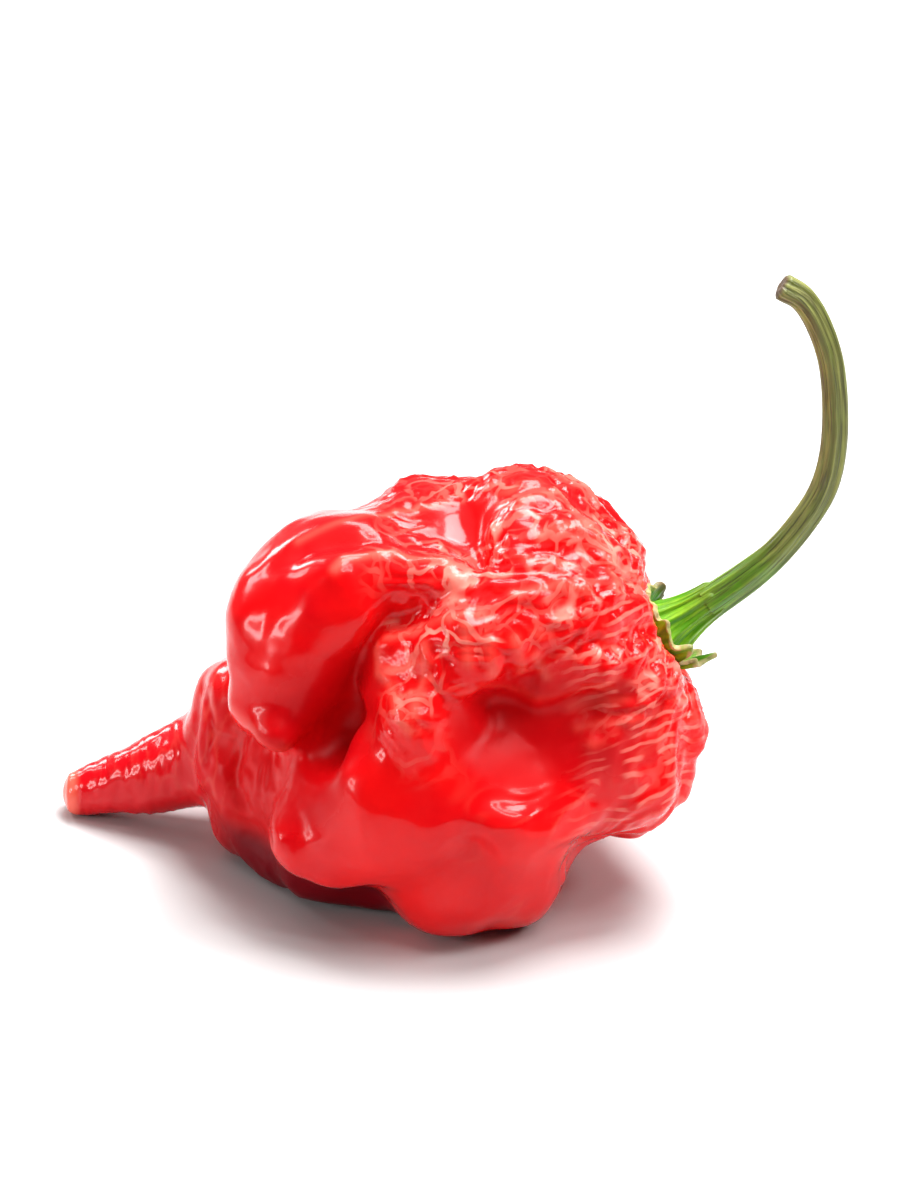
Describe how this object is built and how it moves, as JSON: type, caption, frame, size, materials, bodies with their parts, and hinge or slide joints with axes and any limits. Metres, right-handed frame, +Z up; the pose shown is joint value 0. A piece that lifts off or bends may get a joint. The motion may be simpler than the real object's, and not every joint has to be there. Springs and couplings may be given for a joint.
{
  "type": "reaper chilli pepper",
  "caption": "Ripe red superhot chilli pepper, as picked: lobed, wrinkled pod with a pointed tail, ribbed green calyx and a curved stalk. Lies on its belly.",
  "frame": {"origin": "bottom centre of the whole fruit, on the surface that it lies on", "axes": "+X from the tail to the stalk, +Y to the back as pictured, +Z up"},
  "size_m": [0.0758, 0.041, 0.0621],
  "materials": {
    "pod_skin": "glossy waxy red skin, wrinkled",
    "calyx_green": "satin leaf green, ribbed, dry tan at the rim",
    "pedicel_olive": "satin olive green, streaked brown, woody cut end"
  },
  "bodies": {
    "root": {"pod": "pod_skin", "calyx": "calyx_green", "pedicel": "pedicel_olive"}
  },
  "joints": []
}
